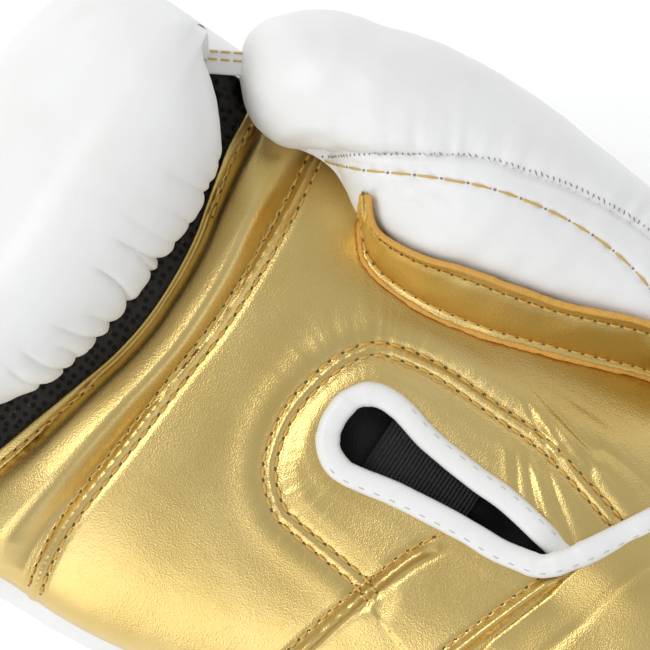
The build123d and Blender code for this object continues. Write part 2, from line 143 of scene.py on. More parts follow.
def near(points, line):
    """(distance to a plan line, length along it, signed side) for many (x, y) points."""
    a, b = line[:-1], line[1:]
    d = b - a
    length = np.maximum(np.linalg.norm(d, axis=1), 1e-9)
    start = np.concatenate([[0], np.cumsum(length)[:-1]])
    best = np.full(len(points), 1e9)
    along = np.zeros(len(points))
    side = np.zeros(len(points))
    for k in range(len(a)):
        rel = points - a[k]
        t = np.clip((rel @ d[k]) / length[k] ** 2, 0, 1)
        off = rel - t[:, None] * d[k]
        dist = np.hypot(off[:, 0], off[:, 1])
        hit = dist < best
        best[hit] = dist[hit]
        along[hit] = start[k] + t[hit] * length[k]
        side[hit] = np.sign(d[k][0] * rel[hit, 1] - d[k][1] * rel[hit, 0])
    return best, along, side


def inside(points, ring):
    """Whether (x, y) points lie in a closed plan ring."""
    x, y = points[:, 0], points[:, 1]
    found = np.zeros(len(points), bool)
    for (x0, y0), (x1, y1) in zip(ring, np.roll(ring, -1, axis=0)):
        cross = (y0 > y) != (y1 > y)
        found ^= cross & (x < (x1 - x0) * (y - y0) / (y1 - y0 + 1e-12) + x0)
    return found


def hash01(i, j, seed):
    """Fixed pseudo-random number from 0 to 1 for a pair of whole numbers."""
    v = np.sin(i * 127.1 + j * 311.7 + seed * 74.7) * 43758.5453
    return v - np.floor(v)


def noise(x, y, seed=0):
    """Smooth value noise from -1 to 1, one lump per unit."""
    i, j = np.floor(x), np.floor(y)
    u, v = smooth(x - i), smooth(y - j)
    a, b = hash01(i, j, seed), hash01(i + 1, j, seed)
    c, d = hash01(i, j + 1, seed), hash01(i + 1, j + 1, seed)
    return 2 * (a * (1 - u) * (1 - v) + b * u * (1 - v) + c * (1 - u) * v + d * u * v) - 1


def bell(d, width):
    return np.exp(-((d / width) ** 2))


def squarish(v, power):
    """A sine or cosine to a power with its sign kept, which squares off a round section."""
    return np.sign(v) * np.abs(v) ** power


def y_on(line, x):
    """y at x of a plan line that runs from left to right."""
    return np.interp(x, line[:, 0], line[:, 1])


def lengths_along(points):
    """Length along a line at each of its points."""
    return np.concatenate([[0], np.cumsum(np.linalg.norm(np.diff(points, axis=0), axis=1))])


def evenly(line, count):
    """A plan line as a number of evenly spaced points."""
    s = lengths_along(line)
    at = np.linspace(0, s[-1], count)
    return np.stack([np.interp(at, s, line[:, k]) for k in range(2)], 1)


def offset(line, distance):
    """A plan line moved sideways, to its left for positive distances."""
    t = np.gradient(line, axis=0)
    t /= np.linalg.norm(t, axis=1)[:, None] + 1e-12
    return line + distance * np.stack([-t[:, 1], t[:, 0]], 1)


# -------------------- mesh helpers
def make(name, verts, faces, material, body="glove", ride=True):
    """A smooth mesh object from points in millimetres, which rides on a body unless told not to."""
    mesh = bpy.data.meshes.new(name)
    mesh.from_pydata((np.asarray(verts) * MM).tolist(), [], [tuple(map(int, f)) for f in faces])
    mesh.validate()
    mesh.update()
    mesh.polygons.foreach_set("use_smooth", [True] * len(mesh.polygons))
    obj = bpy.data.objects.new(name, mesh)
    bpy.context.scene.collection.objects.link(obj)
    mesh.materials.append(material)
    if ride:
        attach(obj, body)
    return obj


def grid(rows, cols, loop_rows=False, loop_cols=False):
    """Faces of a rows by cols vertex grid."""
    i = np.arange(rows if loop_rows else rows - 1)
    j = np.arange(cols if loop_cols else cols - 1)
    a, b = np.meshgrid(i, j, indexing="ij")
    a2, b2 = (a + 1) % rows, (b + 1) % cols
    return np.stack([a * cols + b, a2 * cols + b, a2 * cols + b2, a * cols + b2], -1).reshape(-1, 4)


def normals(p):
    """Unit normals of a (rows, cols, 3) grid of points."""
    n = np.cross(np.gradient(p, axis=0), np.gradient(p, axis=1))
    return n / (np.linalg.norm(n, axis=2, keepdims=True) + 1e-12)


def up_normals(p):
    """Normals of a grid, all turned upwards."""
    n = normals(p)
    return n * np.sign(n[..., 2:3] + 1e-9)


def sheet(name, x, y, z, material):
    """A single sheet from grids of x, y and z."""
    return make(name, np.stack([x, y, z], -1).reshape(-1, 3), grid(*x.shape), material)


def compact(verts, faces):
    """Some faces of a mesh with only the points that they use."""
    used = np.unique(faces)
    remap = np.full(len(verts), -1)
    remap[used] = np.arange(len(used))
    return verts[used], remap[faces]


class Skin:
    """Surfaces to lay seams on, looked up from straight above."""

    def __init__(self):
        self.trees = {}

    def add(self, name, verts, faces):
        self.trees[name] = BVHTree.FromPolygons(np.asarray(verts).tolist(), np.asarray(faces).tolist())

    def at(self, name, x, y):
        """(point, normal) of a surface at a place in plan, or None."""
        hit, normal, _, _ = self.trees[name].ray_cast(Vector((x, y, 300)), Vector((0, 0, -1)))
        if hit is None:
            return None
        return np.array(hit), np.array(normal if normal.z > 0 else -normal)

    def lay(self, name, line):
        """A plan line dropped on a surface: (points, normals), skipping what misses it."""
        found = [self.at(name, x, y) for x, y in line]
        found = [f for f in found if f is not None]
        return np.array([p for p, _ in found]), np.array([n for _, n in found])


skin = Skin()


def resample(points, extra, step):
    """Points and their normals at equal steps along the way."""
    s = lengths_along(points)
    at = np.arange(0, s[-1], step)
    p = np.stack([np.interp(at, s, points[:, k]) for k in range(3)], 1)
    n = np.stack([np.interp(at, s, extra[:, k]) for k in range(3)], 1)
    return p, n / (np.linalg.norm(n, axis=1)[:, None] + 1e-12)


def tube(points, up, half_width, half_height, around=12, taper=True, squareness=1.0):
    """Verts and faces of a rounded strip along points, width square to up."""
    t = np.gradient(points, axis=0)
    t /= np.linalg.norm(t, axis=1)[:, None] + 1e-12
    side = np.cross(t, up)
    side /= np.linalg.norm(side, axis=1)[:, None] + 1e-12
    rise = np.cross(side, t)
    a = np.linspace(0, 2 * math.pi, around, endpoint=False)
    c, s = squarish(np.cos(a), squareness), squarish(np.sin(a), squareness)
    w = np.broadcast_to(half_width, len(points))
    h = np.broadcast_to(half_height, len(points))
    ring = (points[:, None] + side[:, None] * (c[None, :, None] * w[:, None, None])
            + rise[:, None] * (s[None, :, None] * h[:, None, None]))
    if taper:
        for k in (0, -1):
            ring[k] = points[k] + (ring[k] - points[k]) * 0.35
    faces = grid(len(points), around, loop_cols=True).tolist()
    faces.append(list(range(around))[::-1])
    faces.append([(len(points) - 1) * around + i for i in range(around)])
    return ring.reshape(-1, 3), faces


def stitches(name, points, up, material, hole_shade, pitch=SEAM_PITCH, length=2.9, radius=0.38, hold=0.12):
    """A row of thread stitches as one mesh, and a disc of painted shade for the needle hole at the ends of
    each as another.
    """
    fine, sunk = 0.25, 0.35
    p, n = resample(points, up, fine)
    if len(p) < 20:
        return
    verts, faces, hole_shade_verts, hole_shade_faces = [], [], [], []
    step = int(pitch / fine)
    for k in range(0, len(p) - step, step):
        j = k + int(length / fine)
        a, b, m = p[k], p[j], p[(k + j) // 2]
        up_mid = n[(k + j) // 2]
        path = np.array([a - up_mid * sunk, a * 0.86 + b * 0.14 + up_mid * hold, m + up_mid * (hold + 0.12),
                         a * 0.14 + b * 0.86 + up_mid * hold, b - up_mid * sunk])
        v, f = tube(path, np.repeat(up_mid[None], 5, 0), radius, radius * 0.8, around=6)
        faces += [[i + len(verts) for i in q] for q in f]
        verts += v.tolist()
        t = np.cross(up_mid, a - b)
        t /= np.linalg.norm(t) + 1e-12
        w = np.cross(up_mid, t)
        past = (a - b) / np.linalg.norm(a - b) * 0.3
        # each needle hole is a flat disc coloured as painted shade, for the shade inside the hole
        for q in (a + past, b - past):
            hole_shade_faces.append([len(hole_shade_verts) + i for i in range(6)])
            hole_shade_verts += [q + up_mid * 0.06 + 0.36 * (math.cos(i) * t + math.sin(i) * w)
                           for i in np.linspace(0, 5.24, 6)]
    make(name, verts, faces, material)
    if hole_shade:
        make(name + "_hole_shade", hole_shade_verts, hole_shade_faces, hole_shade)


def sew(name, surface, line, material, hole_shade, **how):
    """Stitches along a plan line laid on a surface."""
    stitches(name, *skin.lay(surface, line), material, hole_shade, **how)


# -------------------- materials
def principled(m):
    return m.node_tree.nodes["Principled BSDF"]


def shader(name, color, roughness=0.5, metallic=0.0, **sockets):
    m = bpy.data.materials.new(name)
    m.use_nodes = True
    p = principled(m)
    p.inputs["Base Color"].default_value = (*color, 1)
    p.inputs["Roughness"].default_value = roughness
    p.inputs["Metallic"].default_value = metallic
    for key, value in sockets.items():
        p.inputs[key.replace("_", " ")].default_value = value
    return m


def node(m, kind, links=(), **values):
    """A new node with its inputs or settings given by name."""
    n = m.node_tree.nodes.new(kind)
    for key, value in values.items():
        if key in n.inputs:
            n.inputs[key].default_value = value
        else:
            setattr(n, key, value)
    for socket, source in links:
        m.node_tree.links.new(source, n.inputs[socket])
    return n


def bump(m, height, strength, distance, after=None):
    """Relief from a height, distance in millimetres, over the relief before it."""
    n = node(m, "ShaderNodeBump", [("Height", height)] + ([("Normal", after)] if after else []))
    n.inputs["Strength"].default_value = strength
    n.inputs["Distance"].default_value = distance * MM
    m.node_tree.links.new(n.outputs["Normal"], principled(m).inputs["Normal"])
    return n.outputs["Normal"]


def noise_height(m, scale_mm, detail=3.0, rough=0.55, stretch=None, turn=0.0):
    coord = node(m, "ShaderNodeTexCoord")
    mapping = node(m, "ShaderNodeMapping", [("Vector", coord.outputs["Object"])])
    mapping.inputs["Rotation"].default_value = (0, 0, turn)
    mapping.inputs["Scale"].default_value = stretch or (1, 1, 1)
    tex = node(m, "ShaderNodeTexNoise", [("Vector", mapping.outputs["Vector"])], Scale=1000.0 / scale_mm,
               Detail=detail, Roughness=rough)
    return tex.outputs["Fac"]


def grain(m, scale_mm):
    coord = node(m, "ShaderNodeTexCoord")
    tex = node(m, "ShaderNodeTexVoronoi", [("Vector", coord.outputs["Object"])], Scale=1000.0 / scale_mm)
    return tex.outputs["Distance"]


def ramp(m, factor, low, high, a, b):
    """Colour going from a to b as factor goes from low to high."""
    n = node(m, "ShaderNodeValToRGB", [("Fac", factor)])
    first, last = n.color_ramp.elements[0], n.color_ramp.elements[1]
    first.position, first.color = low, (*a, 1)
    last.position, last.color = high, (*b, 1)
    return n.outputs["Color"]


def mix_colors(m, *how):
    m.node_tree.links.new(ramp(m, *how), principled(m).inputs["Base Color"])


def gold_leather():
    m = shader("gold_leather", (0.71, 0.52, 0.19), 0.30, 1.0, Coat_Weight=0.15, Coat_Roughness=0.35)
    mix_colors(m, noise_height(m, 30, 4), 0.35, 0.7, (0.67, 0.485, 0.165), (0.745, 0.56, 0.225))
    first = bump(m, grain(m, 0.42), 0.5, 0.10)
    second = bump(m, noise_height(m, 1.3, 3, 0.6), 0.16, 0.14, first)
    bump(m, noise_height(m, 5.0, 5, 0.6, stretch=(0.35, 2.2, 1), turn=0.6), 0.06, 0.3, second)
    return m


def white_leather():
    m = shader("white_leather", (0.83, 0.82, 0.80), 0.42, 0.0, Coat_Weight=0.12, Coat_Roughness=0.3)
    mix_colors(m, noise_height(m, 22, 3), 0.35, 0.7, (0.85, 0.84, 0.815), (0.89, 0.885, 0.87))
    first = bump(m, grain(m, 0.7), 0.16, 0.2)
    bump(m, noise_height(m, 6.0, 5, 0.65, stretch=(0.6, 1.6, 1), turn=0.4), 0.22, 0.5, first)
    return m


def mesh_fabric():
    """Knitted spacer mesh, black with round holes that show a few bronze threads; the holes are painted near
    black as painted shade inside the openings.
    """
    m = shader("black_mesh", (0.02, 0.02, 0.02), 0.75)
    coord = node(m, "ShaderNodeTexCoord")
    cells = node(m, "ShaderNodeTexVoronoi", [("Vector", coord.outputs["Object"])], Scale=440.0,
                 Randomness=0.45, voronoi_dimensions="2D")
    # the holes are painted near black: painted shade inside the openings of the knit
    hole_shade_colour = ramp(m, cells.outputs["Distance"], 0.24, 0.36, (0.001, 0.001, 0.001), (0.036, 0.032, 0.026))
    tint = node(m, "ShaderNodeTexNoise", [("Vector", coord.outputs["Object"])], Scale=900.0, Detail=1.0)
    warm = ramp(m, tint.outputs["Fac"], 0.70, 0.76, (1, 1, 1), (3.5, 2.2, 1.1))
    both = node(m, "ShaderNodeMix", data_type="RGBA", blend_type="MULTIPLY")
    both.inputs["Factor"].default_value = 1.0
    m.node_tree.links.new(hole_shade_colour, both.inputs["A"])
    m.node_tree.links.new(warm, both.inputs["B"])
    m.node_tree.links.new(both.outputs["Result"], principled(m).inputs["Base Color"])
    bump(m, cells.outputs["Distance"], 0.5, 0.6)
    return m


def elastic_web():
    m = shader("black_elastic", (0.022, 0.022, 0.024), 0.6)
    coord = node(m, "ShaderNodeTexCoord")
    ribs = node(m, "ShaderNodeTexWave", [("Vector", coord.outputs["Object"])], Scale=330.0, Distortion=0.6)
    ribs.bands_direction = "Y"
    first = bump(m, ribs.outputs["Fac"], 0.7, 0.5)
    bump(m, noise_height(m, 0.8, 2), 0.6, 0.3, first)
    return m


def cloth(name, color, roughness, scale):
    m = shader(name, color, roughness)
    bump(m, noise_height(m, scale, 3), 0.4, 0.4)
    return m


GOLD = gold_leather()
WHITE = white_leather()
MESH = mesh_fabric()
ELASTIC_WEB = elastic_web()
LINING = cloth("black_lining", (0.012, 0.012, 0.013), 0.5, 3.0)
RAW = shader("raw_gold_edge", (0.72, 0.38, 0.07), 0.62)
bump(RAW, noise_height(RAW, 0.8, 3), 0.8, 0.5)
GOLD_THREAD = shader("gold_thread", (0.66, 0.42, 0.10), 0.5)
WHITE_THREAD = shader("white_thread", (0.62, 0.60, 0.57), 0.6)
GREY_THREAD = shader("grey_thread", (0.30, 0.29, 0.28), 0.7)
# needle holes: dark discs of painted shade, for the shade inside each hole on gold and on white leather
HOLE_SHADE = shader("needle_hole_shade", (0.16, 0.085, 0.015), 0.9)
GREY_HOLE_SHADE = shader("needle_hole_shade_white", (0.25, 0.24, 0.23), 0.9)
LOOP = cloth("loop_pile", (0.02, 0.02, 0.02), 0.95, 0.8)
HOOKS = cloth("hook_pile", (0.012, 0.012, 0.012), 0.5, 0.9)


# -------------------- palm side: one relief, cut into its panels
HORSESHOE_LINE = spline(HORSESHOE)
HORSESHOE_IN = offset(HORSESHOE_LINE, -3.0)
SLIT_LINE = spline(SLIT + SLIT[:1])
GOLD_EDGE_LINE, GRIP_LINE = spline(GOLD_EDGE), spline(GRIP_SEAM)
GRIP_ROWS = 3.4              # between the two rows of the grip seam
GRIP_LINE_LOW = offset(GRIP_LINE, -GRIP_ROWS)
WRIST_ROLL_LINE, CUFF_ROLL_LINE = spline(WRIST_ROLL), spline(CUFF_ROLL)
PALM_END = -58.0


def palm_relief(x, y):
    """Height of the padding, seams and creases over the plain palm arch."""
    p = np.stack([x.ravel(), y.ravel()], 1)
    px, py = p.T
    z = np.zeros(len(p))
    seam, edge = y_on(GRIP_LINE, px), y_on(GOLD_EDGE_LINE, px)
    span = edge - seam
    s = (py - seam) / span
    # grip roll: rim strip, steep fall facing the fingers, crest, long slope down to the seam
    rim = np.interp(np.abs(px - 12), [0, 22, 45, 60], [-0.2, 0.1, 1.7, 2.2])
    knots = spline([(-2, 1.0), (0, 1.0), (0.4, 0.7), (1.0, -0.5), (2.0, 0.9), (3.0, 2.4), (4.0, 3.6),
                    (5.0, 4.25), (6.5, 4.9), (8.0, 5.4), (9.3, 5.65), (10.8, 5.1), (12.2, 3.3), (13.5, 1.1),
                    (14.4, 0.1), (17, 0), (30, 0)], 0.2)
    fall = (edge - py - rim) * np.interp(span, [13, 30], [1.0, 0.55])
    roll = np.where(fall < 0, 1.0, y_on(knots, fall))
    z += np.where(s > -0.05, roll, 0) * np.interp(np.abs(px - 3), [0, 40, 58, 66], [1, 1.05, 0.8, 0.3])
    # the raised ridge between the two rows of the grip seam
    low = py - (seam - GRIP_ROWS)
    z += 0.9 * bell(low - GRIP_ROWS / 2, 1.3) - 0.5 * bell(low, 0.8) - 0.5 * bell(low - GRIP_ROWS, 0.8)
    # a low swell over the middle of the palm, then soft padding towards the heel
    z += 0.6 * bell(py - 46, 14) * bell(px + 2, 60)
    z += 1.0 * smooth((10 - py) / 30)
    # horseshoe rows and the padding they hold round the slit
    outer, along, side = near(p, HORSESHOE_LINE)
    inner, _, _ = near(p, HORSESHOE_IN)
    z -= 0.55 * bell(outer, 0.9) + 0.55 * bell(inner, 0.9)
    signed = outer * -np.sign(side)
    slit, _, _ = near(p, SLIT_LINE)
    z += 0.7 * smooth((signed - 3) / 6) * smooth((slit - 3) / 6) + 0.3 * bell(signed - 1.5, 1.1)
    z += 0.45 * bell(signed + 4, 3.5) * smooth(-signed / 3) + 0.8 * smooth((11 - slit) / 9)
    pits = 0.14 * bell(((along + SEAM_PITCH / 2) % SEAM_PITCH) - SEAM_PITCH / 2, 0.8)
    z -= pits * bell(outer, 1.6)
    # rolled seams: a raised lip with a drop on its wrist side
    for line, start in ((WRIST_ROLL_LINE, 1.0), (CUFF_ROLL_LINE, 11.0)):
        d, _, sd = near(p, line)
        up = -d * sd
        on = smooth((start - px) / 5)
        step = 1.9 * bell(up, 1.15) + 0.5 * smooth((up + 1) / 2) * bell(np.maximum(up - 3, 0), 18)
        step -= 0.35 * bell(up - 2.3, 0.7) + 0.3 * bell(up + 1.9, 0.7)
        z += on * step
        if line is CUFF_ROLL_LINE:            # the cuff side drops under the sewn end of the strap
            z -= on * 0.7 * smooth((-up - 1.5) / 4)
    # creases: fans round the top of the horseshoe and beside the slit's foot on the thumb side
    ang = np.arctan2(py - 10, px - 12)
    rad = np.hypot(px - 12, py - 10)
    fan = noise(ang * 15 + 3, rad / 13, 3) + 0.6 * noise(ang * 33, rad / 9, 5)
    z += 0.08 * fan * bell(rad - 25, 9) * smooth((py - 2) / 16)
    turned = np.arctan2(py + 2, px - 46)
    reach = np.hypot(px - 46, py + 2)
    fold = np.abs(noise(turned * 8.5, reach / 22, 11)) ** 0.8
    fold += 0.4 * np.abs(noise(turned * 19, reach / 14, 12)) ** 0.8
    z += 1.5 * fold * bell(reach - 33, 14) * bell(turned + 2.08, 0.36)
    z += 0.22 * noise(px / 17, py / 17, 21) + 0.02 * noise(px / 2.5, py / 4, 22)
    return z.reshape(x.shape)


def palm_base(t, y):
    """Points of the plain arch; t from -1 to 1 goes from side to side at even steps."""
    top, half, centre = table(PALM, y)
    a = np.linspace(-math.pi / 2, math.pi / 2, 2001)
    ax, az = squarish(np.sin(a), 0.8), np.abs(np.cos(a)) ** 0.8
    run = np.concatenate([[0], np.cumsum(np.hypot(np.diff(ax) * 62, np.diff(az) * 25))])
    at = (t + 1) / 2 * run[-1]
    x = centre + half * np.interp(at, run, ax)
    z = PALM_SIDE_Z + (top - PALM_SIDE_Z) * np.interp(at, run, az)
    return x, z


def palm_side():
    """The gold relief, with the slit cut out, as palm panel, wrist band and grip bar."""
    cols = 270
    t = np.linspace(-1, 1, cols)
    v = np.linspace(0, 1, 250)
    x_end, _ = palm_base(t, np.full(cols, 74.0))
    y_end = y_on(GOLD_EDGE_LINE, x_end)
    y = PALM_END + (y_end[None] - PALM_END) * v[:, None]
    x, z = palm_base(np.broadcast_to(t, y.shape), y)
    p = np.stack([x, y, z], -1)
    n = up_normals(p)
    p += n * palm_relief(x, y)[..., None] * smooth((p[..., 2:3] - PALM_SIDE_Z) / 9)
    # the rim turns down behind the strip so that its edge has a thickness
    last = p[-1] + np.array([0, 0.5, -1.2])
    under = p[-1] + np.array([0, -3.0, -2.6])
    p = np.concatenate([p, last[None], under[None]])
    verts = p.reshape(-1, 3)
    faces = grid(len(p), cols)
    skin.add("palm", verts, faces)
    middle = verts[faces].mean(axis=1)[:, :2]
    keep = ~(inside(middle, offset(SLIT_LINE, -1.6)) | inside(middle, SLIT_LINE))
    seam = y_on(GRIP_LINE, middle[:, 0]) - GRIP_ROWS / 2
    wrist = y_on(WRIST_ROLL_LINE[::-1], middle[:, 0])
    panel = np.where(middle[:, 1] > seam, 2, np.where((middle[:, 1] < wrist) & (middle[:, 0] < 8), 1, 0))
    for k, (name, stands) in enumerate((
            ("palm_panel_skin", ("palm_panel", "palm_heel_pad", "palm_lining")),
            ("wrist_band_skin", ("wrist_band_panel", "wrist_piping", "cuff_piping")),
            ("grip_bar_skin", ("grip_cover", "grip_roll")))):
        obj = make(name, *compact(verts, faces[keep & (panel == k)]), GOLD)
        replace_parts(obj, *stands)


# -------------------- white padded shell with its curled fingers
def hook_place(v):
    """Outer line of the shell: y, z, direction inwards in degrees, half width, side depth, exponent, turn."""
    flat_end = 80.0
    lengths = [flat_end - HAND[0, 0], math.radians(CURL_TURN + 90) * FIST[2], math.radians(190) * FINGER_R]
    s = v * sum(lengths)
    first = s < lengths[0]
    second = (~first) & (s < lengths[0] + lengths[1])
    y0 = HAND[0, 0] + s
    z_flat, w_flat, h_flat = table(HAND, np.clip(y0, -44, 50))
    blend = smooth((y0 - 50) / 30)
    w_flat = w_flat + (CURL[0, 1] - HAND[-1, 2]) * blend
    turn = np.where(second, -90 + np.degrees((s - lengths[0]) / FIST[2]),
                    CURL_TURN + np.degrees((s - lengths[0] - lengths[1]) / FINGER_R))
    turn = np.where(first, -90, turn)
    w_curl, h_curl, bend = table(CURL, np.clip(turn, -90, 250))
    a = np.radians(turn)
    cy = FIST[0] + (FIST[2] - FINGER_R) * math.cos(math.radians(CURL_TURN))
    cz = FIST[1] + (FIST[2] - FINGER_R) * math.sin(math.radians(CURL_TURN))
    y = np.where(second, FIST[0] + FIST[2] * np.cos(a), cy + FINGER_R * np.cos(a))
    z = np.where(second, FIST[1] + FIST[2] * np.sin(a), cz + FINGER_R * np.sin(a))
    y, z = np.where(first, y0, y), np.where(first, z_flat, z)
    direction = np.where(first, 90.0, turn + 180)
    bend = np.where(first, 0.8 - 0.08 * smooth((y0 - 30) / 50), bend)
    return y, z, direction, np.where(first, w_flat, w_curl), np.where(first, h_flat, h_curl), bend, turn


def finger_pull(x):
    """How far the finger end is drawn forwards at x, against a straight end."""
    return y_on(spline(FINGER_EDGE), x) - STRAIGHT_END - FINGER_OVERHANG


def gather_list():
    """Creases drawn in by the finger end's seam: place, depth, reach in turn, sharpness, slant and sway."""
    found, x = [], -66.0
    while x < 42:
        found.append((x, rng.uniform(0.7, 2.8), rng.uniform(72, 104), rng.uniform(0.6, 1.1),
                      rng.uniform(-0.06, 0.04), rng.uniform(-1.1, 1.1)))
        x += rng.uniform(3.6, 8.8)
    return found


def gathers(x, turn):
    """Depth of the gathers over the finger end: rounded lobes between sharp creases."""
    depth = np.zeros(x.shape)
    for x0, deep, reach, width, slant, sway in gather_list():
        f = np.clip((turn - (SEWN_TURN - reach)) / reach, 0, 1.4)
        place = x0 + slant * (SEWN_TURN - turn) + sway * np.sin(f * 5.5)
        fade = (0.55 * smooth(f * 3.6) + 0.45 * smooth((turn - 150) / 40)) * smooth((268 - turn) / 40)
        across = np.abs(x - place)
        crease = np.exp(-across / width) * 0.75 + 0.25 * np.exp(-across / (2.5 * width))
        depth = np.maximum(depth, deep * fade * crease)
    for x0, deep, reach, width in ((39.0, 0.9, 75, 1.4), (44.5, 0.5, 50, 0.8), (-9.5, 0.7, 45, 0.6),
                                   (15.0, 0.6, 40, 0.5)):
        fade = smooth((turn - (SEWN_TURN - reach)) / reach * 1.2)
        depth = np.maximum(depth, deep * fade * bell(x - x0 - 0.06 * (SEWN_TURN - turn), width))
    return depth


WALL_END = np.array([  # turn, y, z reached by the side wall
    (-90, 80, 51), (-40, 83, 57), (0, 86, 64), (30, 89, 68), (60, 93, 74), (95, 97.6, 87.5),
    (250, 97.6, 87.5)], float)


def shell():
    """The hand's back, wrapped over the knuckles and rolled in to the fingertips, with its side walls."""
    rows, across, wall = 330, 400, 16
    v = np.linspace(0, 1, rows)
    y, z, direction, half, side, bend, turn = hook_place(v)
    centre = np.where(y < 15, 8 * np.clip((15 - y) / 59, 0, 1), 0.0)
    a = np.linspace(-math.pi / 2, math.pi / 2, 2001)
    points = np.zeros((rows, across + 2 * wall, 3))
    f = np.linspace(0, 1, wall + 1)[1:]
    for k in range(rows):
        ax, ad = squarish(np.sin(a), bend[k]), 1 - np.abs(np.cos(a)) ** bend[k]
        run = np.concatenate([[0], np.cumsum(np.hypot(np.diff(ax) * half[k], np.diff(ad) * side[k]))])
        at = np.linspace(0, run[-1], across)
        x = half[k] * np.interp(at, run, ax)
        depth = side[k] * np.interp(at, run, ad)
        d = math.radians(direction[k])
        line = np.stack([centre[k] + x, y[k] + depth * math.cos(d), z[k] + depth * math.sin(d)], 1)
        if turn[k] <= -90:
            end_y, end_z = y[k], z[k] + side[k] + 5.0
        else:
            end_y, end_z = (np.interp(turn[k], WALL_END[:, 0], WALL_END[:, c]) for c in (1, 2))
        walls = []
        for m, sign in ((0, -1), (-1, 1)):
            wx = line[m, 0] - sign * 6.0 * f**1.5
            ease = f if turn[k] > -90 else smooth(f)
            walls.append(np.stack([wx, line[m, 1] + (end_y - line[m, 1]) * ease,
                                   line[m, 2] + (end_z - line[m, 2]) * ease], 1))
        points[k] = np.concatenate([walls[0][::-1], line, walls[1]])
    px, py = points[..., 0], points[..., 1]
    n = normals(points)
    middle = across // 2 + wall
    inward = np.stack([np.zeros(rows), np.cos(np.radians(direction)), np.sin(np.radians(direction))], 1)
    n *= -np.sign(np.sum(n[:, middle] * inward, 1))[:, None, None]
    n[:, :wall] = n[:, -wall:] = 0
    t2 = np.broadcast_to(turn[:, None], px.shape)
    # padding fullness and a faint unevenness of hand-filled foam
    full = 0.5 * noise(px / 24, py / 24 + t2 / 50, 31) + 0.2 * noise(px / 9, py / 9 + t2 / 25, 32)
    soft = smooth((t2 - 125) / 60)
    full += 1.0 * soft * smooth((262 - t2) / 40) - gathers(px, t2) * smooth((70 - np.abs(px)) / 6)
    full += 0.16 * soft * noise(px / 2.2, t2 / 26, 41)
    full += 0.25 * smooth((t2 - 110) / 70) * noise(px / 5.0, t2 / 40, 42)
    column = np.arange(points.shape[1])
    from_edge = np.minimum(column, column[::-1]) - wall
    points += n * (full * smooth((from_edge - 4) / 30))[..., None]
    # the end follows the curve of the fingertips, but stays inside the glove's outline at the sides
    seam_x = px.copy()
    seam_x[:, :wall], seam_x[:, -wall:] = px[:, wall:wall + 1], px[:, -wall - 1:-wall]
    pull = finger_pull(seam_x)
    points[..., 1] += pull * smooth((t2 - 70) / 110)
    limit, room = 92.0, 5.5
    excess = np.maximum(points[..., 1] - limit, 0)
    points[..., 1] -= (excess - room * (1 - np.exp(-excess / room))) * smooth((t2 - 88) / 20)
    points[..., 2] -= np.clip(pull, 0, 30) * 0.22 * smooth((t2 - 40) / 90)
    points[..., 2] = np.maximum(points[..., 2], 0.0)
    verts, faces = points.reshape(-1, 3), grid(rows, points.shape[1])
    obj = make("back_shell_skin", verts, faces, WHITE)
    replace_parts(obj, "back_shell", "outer_foam", "middle_foam", "dense_foam", "hand_lining")


# -------------------- crook of the fingers
def crook():
    """Mesh vent under the fingertips, and the lining panel behind them."""
    deep = 104                   # y where the mesh meets the lining panel
    xs = np.linspace(-68, 69, 90)
    edge = y_on(GOLD_EDGE_LINE, xs)
    x, t = np.meshgrid(xs, np.linspace(0, 1, 60))
    top, half, centre = table(PALM, np.full(xs.shape, 76.0))
    share = np.clip(np.abs(xs - centre) / half, 0, 0.999)
    arch = PALM_SIDE_Z + (top - PALM_SIDE_Z) * (1 - share**2.5) ** 0.4
    arch = arch + (np.maximum(arch, 66.0) - arch) * smooth((t - 0.12) / 0.3)
    y = edge[None] - 1.5 + t * (deep - edge[None])
    z = arch - 1.4 - 4.5 * np.sin(t * math.pi * 0.8) * (1 - 0.4 * share[None])
    z += 0.4 * noise(x / 6, y / 5, 51)
    x = x * (1 - 0.055 * smooth(t / 0.12))         # its edges stay inside the shell's side walls
    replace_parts(sheet("crook_mesh_cloth", x, y, z, MESH), "crook_mesh")
    x, t = np.meshgrid(np.linspace(-58, 60, 60), np.linspace(0, 1, 24))
    pull = finger_pull(x)
    y = deep - t * (deep - 79.5 - pull * 0.9)
    z = 66.5 + 9.5 * t**1.5 - np.clip(pull, 0, 30) * 0.2 * t - 0.0030 * (x - 2) ** 2
    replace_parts(sheet("fingertip_panel_cloth", x, y, z, LINING), "fingertip_panel")


# -------------------- thumb
THUMB_GOLD_LINE, THUMB_GREY_LINE = spline(THUMB_GOLD_SEAM), spline(THUMB_GREY_SEAM)


